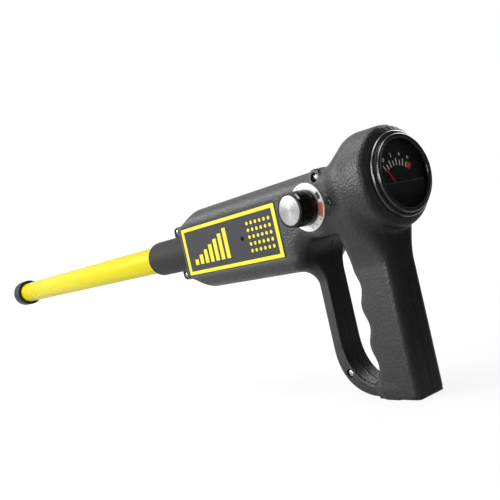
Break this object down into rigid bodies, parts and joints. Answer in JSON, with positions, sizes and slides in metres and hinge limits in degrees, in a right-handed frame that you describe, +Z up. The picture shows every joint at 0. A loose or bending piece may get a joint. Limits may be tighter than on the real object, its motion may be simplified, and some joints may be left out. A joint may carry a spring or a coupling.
{
  "type": "cable locator",
  "caption": "Hand-held cable locator with a closed pistol grip, round signal gauge, sensitivity knob and long antenna tube.",
  "frame": {"origin": "middle of the flat grip base", "axes": "+Z up along the grip, X along the antenna with the tip toward -X, the knob on the -Y side"},
  "size_m": [0.7721, 0.0879, 0.1912],
  "materials": {
    "housing": "pebbled charcoal plastic",
    "collar": "satin dark grey plastic",
    "antenna": "bright yellow plastic tube",
    "cap": "black rubber",
    "label": "slate film with a yellow border",
    "nickel": "bright nickel",
    "dark_screw": "blackened steel",
    "dial_plate": "printed aluminium",
    "knob": "glossy black plastic",
    "knob_disc": "spun aluminium",
    "index": "white plastic",
    "control_metal": "plated steel",
    "gauge_black": "glossy black",
    "glass": "clear",
    "gauge_face": "matte black with a printed scale",
    "needle": "red lacquer",
    "brass": "plain brass",
    "movement": "magnet and coil",
    "gasket": "black rubber",
    "ferrite": "sintered ferrite",
    "copper": "enamelled copper",
    "spacer": "plain nylon",
    "lead_black": "black insulation",
    "lead_red": "red insulation",
    "lead_yellow": "yellow insulation",
    "board": "green laminate",
    "board_parts": "black components",
    "tray": "black plastic",
    "battery": "plain wrapped cells"
  },
  "bodies": {
    "housing": {"left_shell": "housing", "right_shell": "housing", "battery_door": "housing", "front_collar": "collar", "antenna_tube": "antenna", "tip_cap": "cap", "side_label": "label", "case_screws": "nickel", "door_screws": "nickel", "board_screws": "nickel", "pod_screw": "dark_screw", "dial_plate": "dial_plate", "control_body": "control_metal", "control_nut": "control_metal", "gauge_can": "control_metal", "gauge_clamp": "control_metal", "gauge_bezel": "gauge_black", "gauge_glass": "glass", "gauge_dial": "gauge_face", "gauge_mask": "gauge_face", "gauge_studs": "brass", "gauge_nuts": "brass", "gauge_movement": "movement", "gauge_gasket": "gasket", "ferrite_rod": "ferrite", "antenna_coil": "copper", "rod_spacers": "spacer", "antenna_lead": "lead_black", "battery_snaps": "lead_black", "battery_lead": "lead_red", "gauge_lead": "lead_yellow", "circuit_board": "board", "board_parts": "board_parts", "sounder": "board_parts", "battery_tray": "tray", "batteries": "battery"},
    "knob": {"knob_body": "knob", "knob_disc": "knob_disc", "knob_index": "index", "knob_set_screw": "dark_screw", "control_shaft": "control_metal"},
    "needle": {"gauge_needle": "needle", "needle_spindle": "control_metal"}
  },
  "joints": [
    {"name": "knob_turn", "type": "hinge", "parent": "housing", "child": "knob", "pos_m": [-0.0326, -0.042, 0.1472], "axis": [0, 1, 0], "range_deg": [0, 300]},
    {"name": "needle_swing", "type": "hinge", "parent": "housing", "child": "needle", "pos_m": [0.0288, 0, 0.1402], "axis": [-1, 0, 0], "range_deg": [0, 67.2], "stiffness_Nm_per_rad": 0.00002}
  ]
}
